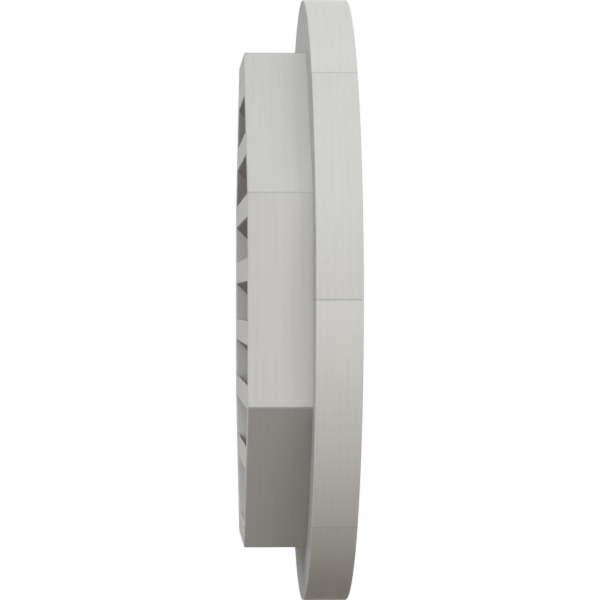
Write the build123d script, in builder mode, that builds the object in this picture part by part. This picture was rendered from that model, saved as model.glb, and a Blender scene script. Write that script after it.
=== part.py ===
from build123d import *
from math import cos, radians, sin, tan
import os

# Round gable vent in painted timber, millimetres.
# The vent's axis lies along Y. The street side faces -Y, the attic side +Y, and +Z is up.
# The origin is on the axis, in the plane where the ring's back meets the wall.

# Octagonal box that goes through the wall
side_count = 8
box_across = 406.4          # outside, flat to flat
board_thickness = 17.8
box_reach = 50.8            # from the wall plane to the rear ends of the boards

# Round ring on the face of the wall, in as many segments as the box has boards
flange_width = 50.8         # how far the ring stands out past the box's flats
ring_thickness = 36.5
ring_lip = 1.4              # how far the ring's bore stands inside the boards
seat_depth = 6.0            # octagonal rebate in the ring's back, which takes the box
seat_clearance = 0.25

# Louvres, numbered from the top
louvre_pitch = 50.8
louvre_thickness = 13.7
louvre_slope = 45.0         # degrees, falling towards the street
top_louvre_drop = 8.6       # from the top board down to the middle of the first rear edge
least_share = 0.5           # of its fall that the last louvre keeps above the bottom board
housing_depth = 5.0         # groove in the boards that holds a louvre's end

# Hidden joinery
glue_gap = 0.1              # on each face of a biscuit
ring_biscuit_length = 56.0
ring_biscuit_width = 23.0
corner_biscuit_length = 47.0
corner_biscuit_width = 15.0
biscuit_thickness = 4.0
biscuit_end_gap = 0.5       # all round a biscuit's outline in its slot

arris = 0.6                 # every exposed edge is eased by this much

# Sizes that follow
step_angle = 360 / side_count
half_angle = step_angle / 2
box_apothem = box_across / 2
inner_apothem = box_apothem - board_thickness
groove_apothem = inner_apothem + housing_depth
ring_radius = box_apothem + flange_width
bore_radius = inner_apothem - ring_lip
box_length = box_reach + seat_depth
louvre_height = louvre_thickness / cos(radians(louvre_slope))
louvre_fall = box_length * tan(radians(louvre_slope))
first_height = inner_apothem - top_louvre_drop
room_for_louvres = first_height + inner_apothem - least_share * louvre_fall
louvre_count = int(room_for_louvres // louvre_pitch) + 1
ring_biscuit_depth = (seat_depth + ring_thickness) / 2
ring_biscuit_radius = (ring_radius + bore_radius) / 2
corner_biscuit_radius = (groove_apothem + box_apothem) / 2 / cos(radians(half_angle))

board_names = [
    "right", "upper_right", "top", "upper_left",
    "left", "lower_left", "bottom", "lower_right",
]


def wall_plane(angle, depth=0.0):
    """The wall plane turned so that its x axis points out at this angle, moved depth to the street."""
    turned = radians(angle)
    return Plane(
        origin=(0, -depth, 0),
        x_dir=(cos(turned), 0, sin(turned)),
        z_dir=(0, -1, 0),
    )


def biscuit_face(length, width, gap=0.0):
    """Lens of two arcs, long along x, for a biscuit or, with a gap, for its slot."""
    half = length / 2 + gap
    bulge = width / 2 + gap
    with BuildSketch() as lens:
        with BuildLine():
            ThreePointArc((-half, 0), (0, bulge), (half, 0))
            ThreePointArc((-half, 0), (0, -bulge), (half, 0))
        make_face()
    return lens.sketch


def corner_plane(angle, radius):
    """Plane across a box corner: its x axis runs along the vent's axis, its z axis points out."""
    turned = radians(angle)
    outward = Vector(cos(turned), 0, sin(turned))
    middle = Vector(0, box_reach - box_length / 2, 0)
    return Plane(origin=middle + outward * radius, x_dir=(0, 1, 0), z_dir=outward)


def ring_segment(index):
    """One mitred segment of the ring, between two seams."""
    middle_angle = (index + 0.5) * step_angle
    with BuildPart() as segment:
        with BuildSketch(wall_plane(middle_angle)):
            with BuildLine():
                outer = CenterArc((0, 0), ring_radius, -half_angle, step_angle)
                inner = CenterArc((0, 0), bore_radius, -half_angle, step_angle)
                Line(outer @ 0, inner @ 0)
                Line(outer @ 1, inner @ 1)
            make_face()
        extrude(amount=ring_thickness)
        street_face = segment.faces().sort_by(Axis.Y)[0]
        rim = segment.faces().filter_by(GeomType.CYLINDER).sort_by(SortBy.AREA)[-1]
        chamfer(street_face.edges() + rim.edges(), arris)
        with BuildSketch(wall_plane(0)):
            RegularPolygon(
                box_apothem + seat_clearance, side_count, major_radius=False, rotation=half_angle
            )
        extrude(amount=seat_depth, mode=Mode.SUBTRACT)
        for seam in (middle_angle - half_angle, middle_angle + half_angle):
            with BuildSketch(wall_plane(seam, ring_biscuit_depth)):
                with Locations((ring_biscuit_radius, 0)):
                    add(ring_slot)
            extrude(amount=biscuit_thickness / 2 + glue_gap, both=True, mode=Mode.SUBTRACT)
    return segment


def louvre(index):
    """One blade, plumb cut at both edges, with its ends cut to lie in the boards' grooves."""
    rear_height = first_height - index * louvre_pitch
    with BuildPart() as blade:
        with BuildSketch(Plane.YZ) as section:
            with BuildLine():
                Polyline(
                    (box_reach, rear_height + louvre_height / 2),
                    (box_reach, rear_height - louvre_height / 2),
                    (-seat_depth, rear_height - louvre_height / 2 - louvre_fall),
                    (-seat_depth, rear_height + louvre_height / 2 - louvre_fall),
                    close=True,
                )
            make_face()
            chamfer(section.vertices(), arris)
        extrude(amount=box_across, both=True)
        with BuildSketch(wall_plane(0, -box_reach)):
            RegularPolygon(groove_apothem, side_count, major_radius=False, rotation=half_angle)
            Rectangle(box_across, 2 * inner_apothem, mode=Mode.INTERSECT)
        extrude(amount=box_length, mode=Mode.INTERSECT)
    return blade


def box_board(index):
    """One mitred board of the box, grooved for the louvres that end in it."""
    angle = index * step_angle
    outer_half = box_apothem * tan(radians(half_angle))
    inner_half = inner_apothem * tan(radians(half_angle))
    with BuildPart() as board:
        with BuildSketch(wall_plane(angle, -box_reach)):
            with BuildLine():
                Polyline(
                    (box_apothem, -outer_half),
                    (box_apothem, outer_half),
                    (inner_apothem, inner_half),
                    (inner_apothem, -inner_half),
                    close=True,
                )
            make_face()
        extrude(amount=box_length)
        rear_face = board.faces().sort_by(Axis.Y)[-1]
        outer_face = board.faces().sort_by(SortBy.AREA)[-1]
        corner_edges = outer_face.edges().filter_by(Axis.Y)
        chamfer(rear_face.edges() + corner_edges, arris)
        for blade in louvres:
            add(blade.part, mode=Mode.SUBTRACT)
        for corner in (angle - half_angle, angle + half_angle):
            with BuildSketch(corner_plane(corner, corner_biscuit_radius)):
                add(corner_slot)
            extrude(amount=biscuit_thickness / 2 + glue_gap, both=True, mode=Mode.SUBTRACT)
    return board


def save(piece, name):
    piece.part.label = name
    export_step(piece.part, f"parts/{name}.step")


# Outlines of the biscuits and their slots
ring_biscuit = biscuit_face(ring_biscuit_length, ring_biscuit_width)
ring_slot = biscuit_face(ring_biscuit_length, ring_biscuit_width, biscuit_end_gap)
corner_biscuit = biscuit_face(corner_biscuit_length, corner_biscuit_width)
corner_slot = biscuit_face(corner_biscuit_length, corner_biscuit_width, biscuit_end_gap)

os.makedirs("parts", exist_ok=True)

# Louvres
louvres = [louvre(index) for index in range(louvre_count)]
for number, blade in enumerate(louvres, start=1):
    save(blade, f"louvre_{number}")

# Box of mitred boards
for index, place in enumerate(board_names):
    save(box_board(index), f"box_board_{place}")

# Ring of mitred segments
for index in range(side_count):
    save(ring_segment(index), f"ring_segment_{index + 1}")

# Biscuits across the ring's seams
with BuildPart() as ring_biscuits:
    for index in range(side_count):
        with BuildSketch(wall_plane(index * step_angle, ring_biscuit_depth)):
            with Locations((ring_biscuit_radius, 0)):
                add(ring_biscuit)
        extrude(amount=biscuit_thickness / 2, both=True)
save(ring_biscuits, "ring_biscuits")

# Biscuits across the box's corners
with BuildPart() as corner_biscuits:
    for index in range(side_count):
        with BuildSketch(corner_plane((index + 0.5) * step_angle, corner_biscuit_radius)):
            add(corner_biscuit)
        extrude(amount=biscuit_thickness / 2, both=True)
save(corner_biscuits, "corner_biscuits")
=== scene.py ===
import math
import random

import bmesh
import bpy
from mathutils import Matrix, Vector

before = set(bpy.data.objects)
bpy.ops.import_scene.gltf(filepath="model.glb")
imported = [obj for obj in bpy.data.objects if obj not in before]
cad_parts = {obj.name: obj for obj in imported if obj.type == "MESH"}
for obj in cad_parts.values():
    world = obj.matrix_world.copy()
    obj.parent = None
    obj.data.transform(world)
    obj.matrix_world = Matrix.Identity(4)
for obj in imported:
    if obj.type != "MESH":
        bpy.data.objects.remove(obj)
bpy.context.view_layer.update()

scene = bpy.context.scene
chance = random.Random(24)
print("frame loaded:", len(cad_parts), "nodes")


# Camera, as the photograph was taken: level, from the side and a little behind
cameraSettings = {
    "azimuth": -92.56,           # degrees, 0 looks along +Y
    "distance": 2.494,
    "lens": 175.9,
    "target": (0.0, 0.0011, 0.0),
    "clip": (0.05, 60.0),
}


def makeCamera(settings):
    data = bpy.data.cameras.new("camera")
    data.lens = settings["lens"]
    data.clip_start, data.clip_end = settings["clip"]
    camera = bpy.data.objects.new("camera", data)
    scene.collection.objects.link(camera)
    turn = math.radians(settings["azimuth"])
    back = Vector((math.sin(turn), -math.cos(turn), 0))
    camera.location = Vector(settings["target"]) + back * settings["distance"]
    camera.rotation_euler = (-back).to_track_quat("-Z", "Y").to_euler()
    scene.camera = camera


makeCamera(cameraSettings)
print("camera placed")


# Helpers for node trees
def addNode(tree, kind, **settings):
    node = tree.nodes.new(kind)
    for name, value in settings.items():
        setattr(node, name, value)
    return node


def feed(tree, sockets, values):
    # links or sets each socket in turn
    for socket, value in zip(sockets, values):
        if isinstance(value, bpy.types.NodeSocket):
            tree.links.new(value, socket)
        else:
            socket.default_value = value


def mathNode(tree, operation, *values, clamp=False):
    node = addNode(tree, "ShaderNodeMath", operation=operation, use_clamp=clamp)
    feed(tree, node.inputs, values)
    return node.outputs[0]


def vectorNode(tree, operation, *values):
    node = addNode(tree, "ShaderNodeVectorMath", operation=operation)
    feed(tree, node.inputs, values)
    return node.outputs["Value" if operation in ("DOT_PRODUCT", "LENGTH") else "Vector"]


def scaledVector(tree, vector, scale):
    node = addNode(tree, "ShaderNodeVectorMath", operation="SCALE")
    feed(tree, (node.inputs[0], node.inputs["Scale"]), (vector, scale))
    return node.outputs["Vector"]


def mixColours(tree, factor, first, second):
    node = addNode(tree, "ShaderNodeMix", data_type="RGBA")
    feed(tree, (node.inputs[0], node.inputs[6], node.inputs[7]), (factor, first, second))
    return node.outputs[2]


def mixShaders(tree, factor, first, second):
    node = addNode(tree, "ShaderNodeMixShader")
    feed(tree, node.inputs, (factor, first, second))
    return node.outputs[0]


def ramp(tree, value, low, high):
    # 0 before low and 1 past high, which may be the lower of the two
    node = addNode(tree, "ShaderNodeMapRange", interpolation_type="SMOOTHSTEP")
    feed(tree, node.inputs, (value, low, high))
    return node.outputs["Result"]


def separate(tree, vector):
    node = addNode(tree, "ShaderNodeSeparateXYZ")
    tree.links.new(vector, node.inputs[0])
    return node.outputs["X"], node.outputs["Y"], node.outputs["Z"]


def newGroup(name, inputs, outputs):
    group = bpy.data.node_groups.new(name, "ShaderNodeTree")
    for label, kind, default in inputs:
        socket = group.interface.new_socket(name=label, in_out="INPUT", socket_type=kind)
        if default is not None:
            socket.default_value = default
    for label, kind in outputs:
        group.interface.new_socket(name=label, in_out="OUTPUT", socket_type=kind)
    return group, addNode(group, "NodeGroupInput"), addNode(group, "NodeGroupOutput")


def placeGroup(tree, group, values):
    # values go by the names of the group's inputs, plain or as another node's socket
    node = addNode(tree, "ShaderNodeGroup", node_tree=group)
    feed(tree, [node.inputs[label] for label in values], values.values())
    return node.outputs


def linear(red, green, blue):
    # the linear colour of an sRGB tone given in levels from 0 to 255
    def one(level):
        level /= 255
        return level / 12.92 if level <= 0.04045 else ((level + 0.055) / 1.055) ** 2.4
    return (one(red), one(green), one(blue), 1.0)


# Studio: an even sky over a dim warm ground, and six soft lamps
studioSettings = {
    "skyColour": (0.95, 0.98, 1.0),
    "skyStrength": 0.42,
    "groundColour": (1.0, 0.67, 0.36),
    "groundStrength": 0.046,
    "horizonBlend": 0.25,        # sine of the height over which ground turns into sky
    "lampDistance": 3.4,
    "lamps": {                   # direction from the vent, watts, diameter, colour
        "keyLamp": ((-1.0, -0.20, 0.24), 31.0, 2.0, (1.0, 1.0, 1.0)),
        "sideLamp": ((-1.0, 0.13, 0.05), 29.0, 1.0, (1.0, 1.0, 1.0)),
        "topLamp": ((0.50, 0.0, 1.0), 20.0, 1.6, (1.0, 0.96, 0.88)),
        "atticLamp": ((-0.5, 1.0, 0.60), 38.0, 2.0, (0.95, 0.98, 1.0)),
        "streetLamp": ((0.5, -1.0, 0.30), 76.0, 2.0, (1.0, 1.0, 1.0)),
        "farLamp": ((1.0, -0.1, 0.30), 36.0, 2.0, (1.0, 1.0, 1.0)),
    },
    "floorHeight": -0.40,
    "floorRadius": 1.25,
    "floorSides": 128,
    "floorColour": (0.92, 0.92, 0.915, 1.0),
    "floorBounce": (0.096, 0.066, 0.043, 1.0),    # what the vent sees of it
    "fadeFrom": 0.55,            # share of the radius where the floor starts to fade into white
}


def seenDirectly(tree):
    # 1 for what the camera sees, also in gloss or through glass
    path = addNode(tree, "ShaderNodeLightPath")
    seen = mathNode(tree, "MAXIMUM", path.outputs["Is Camera Ray"], path.outputs["Is Glossy Ray"])
    return mathNode(tree, "MAXIMUM", seen, path.outputs["Is Transmission Ray"])


def makeWorld(settings):
    world = bpy.data.worlds.new("studio")
    world.use_nodes = True
    scene.world = world
    tree = world.node_tree
    tree.nodes.clear()
    direction = addNode(tree, "ShaderNodeTexCoord")
    height = separate(tree, direction.outputs["Generated"])[2]
    rise = ramp(tree, height, -settings["horizonBlend"], settings["horizonBlend"])
    sky = [level * settings["skyStrength"] for level in settings["skyColour"]] + [1.0]
    ground = [level * settings["groundStrength"] for level in settings["groundColour"]] + [1.0]
    light = addNode(tree, "ShaderNodeBackground")
    tree.links.new(mixColours(tree, rise, ground, sky), light.inputs["Color"])
    white = addNode(tree, "ShaderNodeBackground")
    white.inputs["Color"].default_value = (1, 1, 1, 1)
    choice = mixShaders(tree, seenDirectly(tree), light.outputs[0], white.outputs[0])
    tree.links.new(choice, addNode(tree, "ShaderNodeOutputWorld").inputs[0])


def makeLamps(settings):
    for name, (direction, power, diameter, colour) in settings["lamps"].items():
        data = bpy.data.lights.new(name, "AREA")
        data.shape = "DISK"
        data.size = diameter
        data.energy = power
        data.color = colour
        lamp = bpy.data.objects.new(name, data)
        scene.collection.objects.link(lamp)
        towards = Vector(direction).normalized()
        lamp.location = towards * settings["lampDistance"]
        lamp.rotation_euler = (-towards).to_track_quat("-Z", "Y").to_euler()
        lamp.visible_camera = False
        lamp.visible_glossy = False


def floorCard(settings):
    # pale to the camera, fading into the white round it, and dim as a source of light for the vent
    material = bpy.data.materials.new("floorCard")
    material.use_nodes = True
    tree = material.node_tree
    tree.nodes.clear()
    card = addNode(tree, "ShaderNodeBsdfDiffuse")
    card.inputs["Color"].default_value = settings["floorColour"]
    bounce = addNode(tree, "ShaderNodeBsdfDiffuse")
    bounce.inputs["Color"].default_value = settings["floorBounce"]
    glow = addNode(tree, "ShaderNodeEmission")
    place = addNode(tree, "ShaderNodeTexCoord")
    reach = vectorNode(tree, "LENGTH", place.outputs["Object"])
    radius = settings["floorRadius"]
    fade = ramp(tree, reach, radius * settings["fadeFrom"], radius)
    shown = mixShaders(tree, fade, card.outputs[0], glow.outputs[0])
    choice = mixShaders(tree, seenDirectly(tree), bounce.outputs[0], shown)
    # clear from below, so that the vent's underside can be seen
    geometry = addNode(tree, "ShaderNodeNewGeometry")
    clear = addNode(tree, "ShaderNodeBsdfTransparent")
    oneSided = mixShaders(tree, geometry.outputs["Backfacing"], choice, clear.outputs[0])
    tree.links.new(oneSided, addNode(tree, "ShaderNodeOutputMaterial").inputs[0])
    return material


def makeFloor(settings):
    mesh = bpy.data.meshes.new("floor")
    shape = bmesh.new()
    bmesh.ops.create_circle(shape, cap_ends=True, segments=settings["floorSides"],
                            radius=settings["floorRadius"])
    shape.to_mesh(mesh)
    shape.free()
    floor = bpy.data.objects.new("floor", mesh)
    scene.collection.objects.link(floor)
    floor.location.z = settings["floorHeight"]
    mesh.materials.append(floorCard(settings))


makeWorld(studioSettings)
makeLamps(studioSettings)
makeFloor(studioSettings)
scene.view_settings.view_transform = "Standard"
print("studio lit")


# Effects that the painted boards share. Their vector is in metres: x runs along the board's
# grain, y towards the attic, and z in towards the vent's axis. Scales are in features a metre
def stretchedNoise(group, vector, scales, offset=None, detail=2.0, roughness=0.5):
    place = vectorNode(group, "MULTIPLY", vector, scales)
    if offset is not None:
        place = vectorNode(group, "ADD", place, offset)
    noise = addNode(group, "ShaderNodeTexNoise")
    noise.inputs["Scale"].default_value = 1.0
    noise.inputs["Detail"].default_value = detail
    noise.inputs["Roughness"].default_value = roughness
    group.links.new(place, noise.inputs["Vector"])
    return noise


grainSettings = {
    "ringScale": (4, 12, 12),             # of the slow noise that bends the growth rings
    "ringBend": (0, 0.014, 0.014),        # metres that it moves them
    "lateWood": 2.5,                      # how narrow the dark part of a growth ring is
    "fibreScale": (16, 850, 850),
    "seedShift": (3.1, 0.021, 0.017),     # metres from one seed to the next
}


def makeGrainGroup(settings):
    # growth rings of the timber, and its fine fibres, as they show faintly through the paint
    group, given, result = newGroup(
        "Timber Grain",
        [("Vector", "NodeSocketVector", None), ("Seed", "NodeSocketFloat", 0.0),
         ("Ring Spacing", "NodeSocketFloat", 0.006)],
        [("Rings", "NodeSocketFloat"), ("Fibres", "NodeSocketFloat")],
    )
    shift = scaledVector(group, settings["seedShift"], given.outputs["Seed"])
    place = vectorNode(group, "ADD", given.outputs["Vector"], shift)

    wander = stretchedNoise(group, place, settings["ringScale"], detail=1.0)
    bent = vectorNode(group, "MULTIPLY_ADD", wander.outputs["Color"], settings["ringBend"], place)
    radius = vectorNode(group, "LENGTH", vectorNode(group, "MULTIPLY", bent, (0, 1, 1)))
    turns = mathNode(group, "DIVIDE", radius, given.outputs["Ring Spacing"])
    wave = mathNode(group, "SINE", mathNode(group, "MULTIPLY", turns, 2 * math.pi))
    height = mathNode(group, "MULTIPLY", mathNode(group, "ADD", wave, 1.0), 0.5)
    rings = mathNode(group, "POWER", height, settings["lateWood"])
    group.links.new(rings, result.inputs["Rings"])

    fibres = stretchedNoise(group, place, settings["fibreScale"], detail=3.0, roughness=0.6)
    group.links.new(fibres.outputs["Fac"], result.inputs["Fibres"])
    return group


brushSettings = {
    "ridgeScale": (7, 900, 900),
    "streakScale": (9, 120, 120),
    "hairlineScale": (22, 520, 520),
    "hairlineFrom": 0.70,                 # the noise's height at which a hairline starts
    "hairlineFull": 0.82,
    "seedShift": (4.7, 9.3, 6.1),         # in the noise's own steps
}


def makeBrushGroup(settings):
    # marks of a wide brush drawn along the board: ridges, streaks of thicker paint, a few hairlines
    group, given, result = newGroup(
        "Brush Marks",
        [("Vector", "NodeSocketVector", None), ("Seed", "NodeSocketFloat", 0.0)],
        [("Ridges", "NodeSocketFloat"), ("Streaks", "NodeSocketFloat"), ("Hairlines", "NodeSocketFloat")],
    )
    links = group.links
    vector = given.outputs["Vector"]
    offset = scaledVector(group, settings["seedShift"], given.outputs["Seed"])
    ridges = stretchedNoise(group, vector, settings["ridgeScale"], offset, detail=1.5)
    links.new(ridges.outputs["Fac"], result.inputs["Ridges"])
    streaks = stretchedNoise(group, vector, settings["streakScale"], offset, detail=2.5, roughness=0.6)
    links.new(streaks.outputs["Fac"], result.inputs["Streaks"])
    lines = stretchedNoise(group, vector, settings["hairlineScale"], offset, detail=0.0)
    hairlines = ramp(group, lines.outputs["Fac"], settings["hairlineFrom"], settings["hairlineFull"])
    links.new(hairlines, result.inputs["Hairlines"])
    return group


mottleSettings = {
    "patchScale": (14, 22, 22),
    "toothScale": (700, 700, 700),
}


def makeMottleGroup(settings):
    # slow unevenness of a hand-painted coat in patches, and the fine tooth of its surface
    group, given, result = newGroup(
        "Paint Mottle",
        [("Vector", "NodeSocketVector", None)],
        [("Patches", "NodeSocketFloat"), ("Tooth", "NodeSocketFloat")],
    )
    vector = given.outputs["Vector"]
    patches = stretchedNoise(group, vector, settings["patchScale"], detail=3.0)
    group.links.new(patches.outputs["Fac"], result.inputs["Patches"])
    tooth = stretchedNoise(group, vector, settings["toothScale"])
    group.links.new(tooth.outputs["Fac"], result.inputs["Tooth"])
    return group


mitreSettings = {
    "halfAngle": math.radians(22.5),
    "lineFrom": 0.0008,                   # metres from the mitre
    "lineFull": 0.0004,
    "insideFrom": 0.4,                    # how far a face looks in towards the axis
    "insideFull": 0.8,
}


def makeMitreGroup(settings):
    # the line where two mitred boards meet. The paint fills its eased arrises, so their normal is
    # turned back towards the boards', and dust darkens them, less so on the inside
    group, given, result = newGroup(
        "Mitre Line",
        [("Vector", "NodeSocketVector", None), ("Board Angle", "NodeSocketFloat", 0.0),
         ("Half Angle", "NodeSocketFloat", settings["halfAngle"]), ("Fill", "NodeSocketFloat", 0.8),
         ("Inside", "NodeSocketFloat", 0.3)],
        [("Line", "NodeSocketFloat"), ("Normal", "NodeSocketVector")],
    )
    links = group.links
    x, _, z = separate(group, given.outputs["Vector"])
    half = given.outputs["Half Angle"]
    sine, cosine = mathNode(group, "SINE", half), mathNode(group, "COSINE", half)
    reach = mathNode(group, "MULTIPLY", mathNode(group, "MULTIPLY", z, -1.0), sine)
    along = mathNode(group, "MULTIPLY", mathNode(group, "ABSOLUTE", x), cosine)
    distance = mathNode(group, "SUBTRACT", reach, along)
    line = ramp(group, distance, settings["lineFrom"], settings["lineFull"])

    # the surface's normal in the board's own directions, where z points in
    geometry = addNode(group, "ShaderNodeNewGeometry")
    turned = addNode(group, "ShaderNodeVectorRotate", rotation_type="Y_AXIS")
    links.new(geometry.outputs["Normal"], turned.inputs["Vector"])
    links.new(given.outputs["Board Angle"], turned.inputs["Angle"])
    normal = turned.outputs["Vector"]
    inwards = separate(group, normal)[2]
    inside = ramp(group, inwards, settings["insideFrom"], settings["insideFull"])
    lost = mathNode(group, "MULTIPLY", inside, mathNode(group, "SUBTRACT", 1.0, given.outputs["Inside"]))
    left = mathNode(group, "SUBTRACT", 1.0, lost)
    links.new(mathNode(group, "MULTIPLY", line, left), result.inputs["Line"])

    # its lean towards the seam, square to the mitre on this side of the board, is taken out
    seam = addNode(group, "ShaderNodeCombineXYZ")
    links.new(mathNode(group, "MULTIPLY", mathNode(group, "SIGN", x), cosine), seam.inputs["X"])
    links.new(sine, seam.inputs["Z"])
    lean = vectorNode(group, "DOT_PRODUCT", normal, seam.outputs["Vector"])
    filled = mathNode(group, "MULTIPLY", line, given.outputs["Fill"])
    share = mathNode(group, "MULTIPLY", filled, lean)
    level = vectorNode(group, "SUBTRACT", normal, scaledVector(group, seam.outputs["Vector"], share))
    back = addNode(group, "ShaderNodeVectorRotate", rotation_type="Y_AXIS", invert=True)
    links.new(level, back.inputs["Vector"])
    links.new(given.outputs["Board Angle"], back.inputs["Angle"])
    links.new(vectorNode(group, "NORMALIZE", back.outputs["Vector"]), result.inputs["Normal"])
    return group


shadeCloudSettings = {
    "cloudScale": (30, 60, 60),
    "thinnest": 0.7,
    "spread": 0.6,
}


def makeShadeCloudGroup(settings):
    # painted shade in the colour of grey dust, thicker in some places than in others
    group, given, result = newGroup(
        "Painted Shade Cloud",
        [("Vector", "NodeSocketVector", None), ("Where", "NodeSocketFloat", 0.0)],
        [("Painted Shade", "NodeSocketFloat")],
    )
    vector = given.outputs["Vector"]
    clouds = stretchedNoise(group, vector, settings["cloudScale"], detail=4.0, roughness=0.6)
    spread = mathNode(group, "MULTIPLY", clouds.outputs["Fac"], settings["spread"])
    share = mathNode(group, "ADD", spread, settings["thinnest"])
    shadeCloud = mathNode(group, "MULTIPLY", share, given.outputs["Where"], clamp=True)
    group.links.new(shadeCloud, result.inputs["Painted Shade"])
    return group


grainGroup = makeGrainGroup(grainSettings)
brushGroup = makeBrushGroup(brushSettings)
mottleGroup = makeMottleGroup(mottleSettings)
mitreGroup = makeMitreGroup(mitreSettings)
shadeCloudGroup = makeShadeCloudGroup(shadeCloudSettings)
print("shared effects made")


# Painted timber, one material for each board, with the grain along that board
paintSettings = {
    "toneSpread": 0.006,          # between one board and the next
    "ringShow": 0.016,
    "fibreShow": 0.018,
    "streakShow": 0.060,
    "hairlineShow": 0.045,
    "patchShow": 0.035,
    "mitreShade": 0.17,           # how much darker the arrises of a mitre are
    "mitreFill": 0.85,            # how far the paint levels them
    # painted shade: the grey-brown that the cloud mixes in, and how fully
    "shadeCloudColour": linear(109, 105, 100),
    "shadeCloudCover": 0.64,
    "shadeCloudRoughness": 0.55,        # added where the painted shade covers the paint
    "roughness": 0.60,
    "roughnessSpread": 0.14,
    "specular": 0.25,
    "fibreRelief": 0.6,
    "ringRelief": 0.4,
    "grainDepth": 0.00010,        # metres
    "brushDepth": 0.00005,
}


def centred(tree, value, amount):
    # the value, moved to lie round zero and scaled
    return mathNode(tree, "MULTIPLY", mathNode(tree, "SUBTRACT", value, 0.5), amount)


def total(tree, *values):
    while len(values) > 1:
        values = (mathNode(tree, "ADD", values[0], values[1]),) + values[2:]
    return values[0]


def faces(tree, direction, low, high):
    # 1 on the faces that look along this direction. Low and high are cosines of their lean from it
    geometry = addNode(tree, "ShaderNodeNewGeometry")
    lean = vectorNode(tree, "DOT_PRODUCT", geometry.outputs["True Normal"], direction)
    return ramp(tree, lean, low, high)


def addBump(tree, height, distance, normal=None):
    bump = addNode(tree, "ShaderNodeBump")
    bump.inputs["Distance"].default_value = distance
    tree.links.new(height, bump.inputs["Height"])
    if normal is not None:
        tree.links.new(normal, bump.inputs["Normal"])
    return bump.outputs["Normal"]


def paintedTimber(name, colour, grainAngle, settings, seed,
                  shadeCloudPlace=None, paintedDarkening=None, mitred=True):
    # the two shade places are functions that give a mask from the material's tree and vector: one for
    # painted shade in grey-brown clouds, one for painted shade as a plain darkening
    material = bpy.data.materials.new(name)
    material.use_nodes = True
    tree = material.node_tree
    links = tree.links
    shader = tree.nodes["Principled BSDF"]
    place = addNode(tree, "ShaderNodeTexCoord")
    turned = addNode(tree, "ShaderNodeMapping")
    turned.inputs["Rotation"].default_value = (0, grainAngle, 0)
    links.new(place.outputs["Object"], turned.inputs["Vector"])
    vector = turned.outputs["Vector"]

    grain = placeGroup(tree, grainGroup, {"Vector": vector, "Seed": seed})
    brush = placeGroup(tree, brushGroup, {"Vector": vector, "Seed": seed})
    mottle = placeGroup(tree, mottleGroup, {"Vector": vector})
    shades = [
        centred(tree, grain["Rings"], -settings["ringShow"]),
        centred(tree, grain["Fibres"], settings["fibreShow"]),
        centred(tree, brush["Streaks"], settings["streakShow"]),
        centred(tree, mottle["Patches"], settings["patchShow"]),
        mathNode(tree, "MULTIPLY", brush["Hairlines"], -settings["hairlineShow"]),
    ]
    gloss = [centred(tree, brush["Streaks"], settings["roughnessSpread"]),
             centred(tree, mottle["Tooth"], settings["roughnessSpread"])]
    ground = None
    if mitred:
        mitre = placeGroup(tree, mitreGroup, {"Vector": vector, "Board Angle": grainAngle,
                                              "Fill": settings["mitreFill"]})
        shades.append(mathNode(tree, "MULTIPLY", mitre["Line"], -settings["mitreShade"]))
        ground = mitre["Normal"]
    # painted shade: a plain darkening of the colour where the mask says
    if paintedDarkening:
        shades.append(mathNode(tree, "MULTIPLY", paintedDarkening(tree, vector), -1.0))
    finish = scaledVector(tree, colour, mathNode(tree, "ADD", total(tree, *shades), 1.0))
    # painted shade in a grey-brown dust colour, in clouds, mixed over the paint
    if shadeCloudPlace:
        shadeCloud = placeGroup(tree, shadeCloudGroup, {"Vector": vector, "Where": shadeCloudPlace(tree, vector)})
        cover = mathNode(tree, "MULTIPLY", shadeCloud["Painted Shade"], settings["shadeCloudCover"])
        finish = mixColours(tree, cover, finish, settings["shadeCloudColour"])
        gloss.append(mathNode(tree, "MULTIPLY", cover, settings["shadeCloudRoughness"]))
    links.new(finish, shader.inputs["Base Color"])
    roughness = mathNode(tree, "ADD", total(tree, *gloss), settings["roughness"], clamp=True)
    links.new(roughness, shader.inputs["Roughness"])
    shader.inputs["Specular IOR Level"].default_value = settings["specular"]

    relief = total(tree, mathNode(tree, "MULTIPLY", grain["Fibres"], settings["fibreRelief"]),
                   mathNode(tree, "MULTIPLY", grain["Rings"], settings["ringRelief"]))
    timber = addBump(tree, relief, settings["grainDepth"], ground)
    links.new(addBump(tree, brush["Ridges"], settings["brushDepth"], timber), shader.inputs["Normal"])
    return material


def ownTone(colour, share, spread):
    # a board's shade of the paint: its share, which holds painted light and shade as well as its own
    # tone, then a little random lightness and warmth
    change = share * (1 + chance.uniform(-spread, spread))
    warmth = chance.uniform(-spread, spread) / 3
    return (colour[0] * (change + warmth), colour[1] * change, colour[2] * (change - warmth))


def dress(node, material):
    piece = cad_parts[node]
    piece.data.materials.clear()
    piece.data.materials.append(material)


stepAngle = math.radians(45)       # from one board to the next
quarterTurn = math.radians(90)     # from a board's direction out to its grain

# Box: mitred boards, with a little painted shade where they meet the ring's back, and painted
# shade on the faces that look down, darkest by the ring
boxSettings = {
    "colour": linear(205, 204, 201),
    # shares of the colour, one per board: part its own tone, part painted light and shade set to how the
    # lamps light each face
    "shares": {"right": 1.0, "upper_right": 0.98, "top": 1.0, "upper_left": 0.955,
               "left": 0.99, "lower_left": 0.97, "bottom": 0.99, "lower_right": 1.0},
    "seed": 1.3,                  # of the first board's grain and brush marks
    # painted shade in the corner where the boards meet the ring's back
    "cornerShadeReach": 0.040,           # metres behind the wall's plane
    "cornerPaintedShade": 0.02,
    "underside": ((0, 0, -1), 0.50, 0.65),    # direction, then the cosines for the mask's edge
    "undersideShade": 0.22,       # painted shade of the faces that look down, by the ring
    "undersideEven": 0.65,        # the share of it that reaches their rear ends
    "undersideReach": 0.050,      # metres over which the rest of it fades
}


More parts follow.
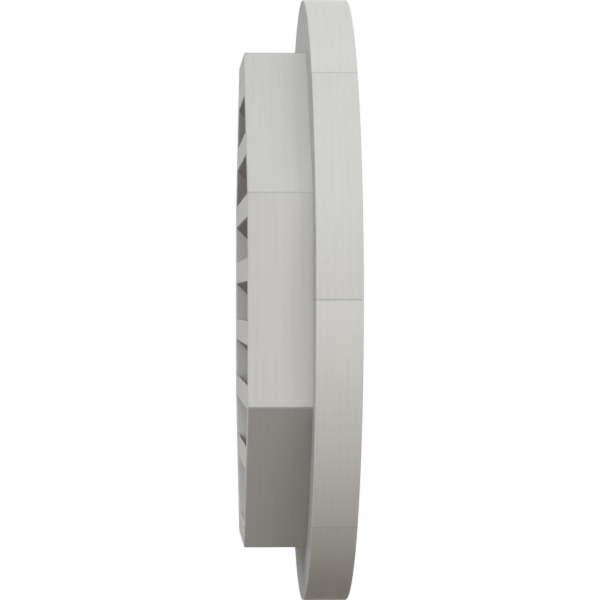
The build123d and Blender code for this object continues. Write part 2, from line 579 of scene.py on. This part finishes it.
# painted corner shade, darkest at the ring
def boxCornerShade(tree, vector):
    nearRing = ramp(tree, separate(tree, vector)[1], boxSettings["cornerShadeReach"], 0.0)
    return mathNode(tree, "MULTIPLY", nearRing, boxSettings["cornerPaintedShade"])


# painted shade on the faces that look down, darkest by the ring
def boxUnderside(tree, vector):
    nearRing = ramp(tree, separate(tree, vector)[1], boxSettings["undersideReach"], 0.0)
    even = boxSettings["undersideEven"]
    amount = mathNode(tree, "ADD", mathNode(tree, "MULTIPLY", nearRing, 1 - even), even)
    shade = mathNode(tree, "MULTIPLY", amount, boxSettings["undersideShade"])
    return mathNode(tree, "MULTIPLY", faces(tree, *boxSettings["underside"]), shade)


for index, (place, share) in enumerate(boxSettings["shares"].items()):
    shade = ownTone(boxSettings["colour"], share, paintSettings["toneSpread"])
    angle = index * stepAngle + quarterTurn
    seed = index + boxSettings["seed"]
    paint = paintedTimber(f"boxPaint_{place}", shade, angle, paintSettings, seed,
                          shadeCloudPlace=boxCornerShade, paintedDarkening=boxUnderside)
    dress(f"box_board_{place}", paint)
print("box painted")


# Ring: mitred segments, with painted shade on the back that bears on the wall
ringSettings = {
    "colour": linear(211, 210, 206),
    # shares of the colour, one per segment: part its own tone, part painted light and shade set to how
    # the lamps light each part of the rim
    "shares": [1.0, 1.0, 1.01, 0.97, 1.02, 0.985, 1.0, 1.0],
    "seed": 11.7,
    "back": ((0, 1, 0), 0.80, 0.95),
    "backShade": 0.31,            # how much darker the painted shade makes the back
}


# painted shade: the faces that look towards the attic are darkened
def ringBack(tree, vector):
    return mathNode(tree, "MULTIPLY", faces(tree, *ringSettings["back"]), ringSettings["backShade"])


for index, share in enumerate(ringSettings["shares"]):
    shade = ownTone(ringSettings["colour"], share, paintSettings["toneSpread"])
    angle = (index + 0.5) * stepAngle + quarterTurn
    seed = index + ringSettings["seed"]
    paint = paintedTimber(f"ringPaint_{index + 1}", shade, angle, paintSettings, seed, paintedDarkening=ringBack)
    dress(f"ring_segment_{index + 1}", paint)
print("ring painted")


# Louvres: their undersides are darkened with painted shade in a grey-brown dust colour
louvreSettings = {
    "colour": linear(214, 211, 206),
    "seed": 23.9,
    "underside": ((0, math.sqrt(0.5), -math.sqrt(0.5)), 0.85, 0.97),
    "undersidePaintedShade": 1.15,
}


# painted shade on the undersides
def louvreUndersideShade(tree, vector):
    underside = faces(tree, *louvreSettings["underside"])
    return mathNode(tree, "MULTIPLY", underside, louvreSettings["undersidePaintedShade"])


louvreNames = sorted(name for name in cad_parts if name.startswith("louvre_"))
for index, name in enumerate(louvreNames):
    shade = ownTone(louvreSettings["colour"], 1.0, paintSettings["toneSpread"])
    seed = index + louvreSettings["seed"]
    paint = paintedTimber(f"louvrePaint_{index + 1}", shade, 0.0, paintSettings, seed,
                          shadeCloudPlace=louvreUndersideShade, mitred=False)
    dress(name, paint)
print("louvres painted")


# Beech of the biscuits inside the joints
beechSettings = {
    "pale": linear(206, 170, 128),
    "dark": linear(171, 128, 88),
    "seed": 2.0,
    "ringSpacing": 0.002,
    "roughness": 0.7,
}


def makeBeech(settings):
    material = bpy.data.materials.new("pressedBeech")
    material.use_nodes = True
    tree = material.node_tree
    shader = tree.nodes["Principled BSDF"]
    place = addNode(tree, "ShaderNodeTexCoord")
    grain = placeGroup(tree, grainGroup, {"Vector": place.outputs["Object"], "Seed": settings["seed"],
                                          "Ring Spacing": settings["ringSpacing"]})
    colour = mixColours(tree, grain["Fibres"], settings["dark"], settings["pale"])
    tree.links.new(colour, shader.inputs["Base Color"])
    shader.inputs["Roughness"].default_value = settings["roughness"]
    return material


beech = makeBeech(beechSettings)
for name in ("ring_biscuits", "corner_biscuits"):
    dress(name, beech)
print("biscuits done")
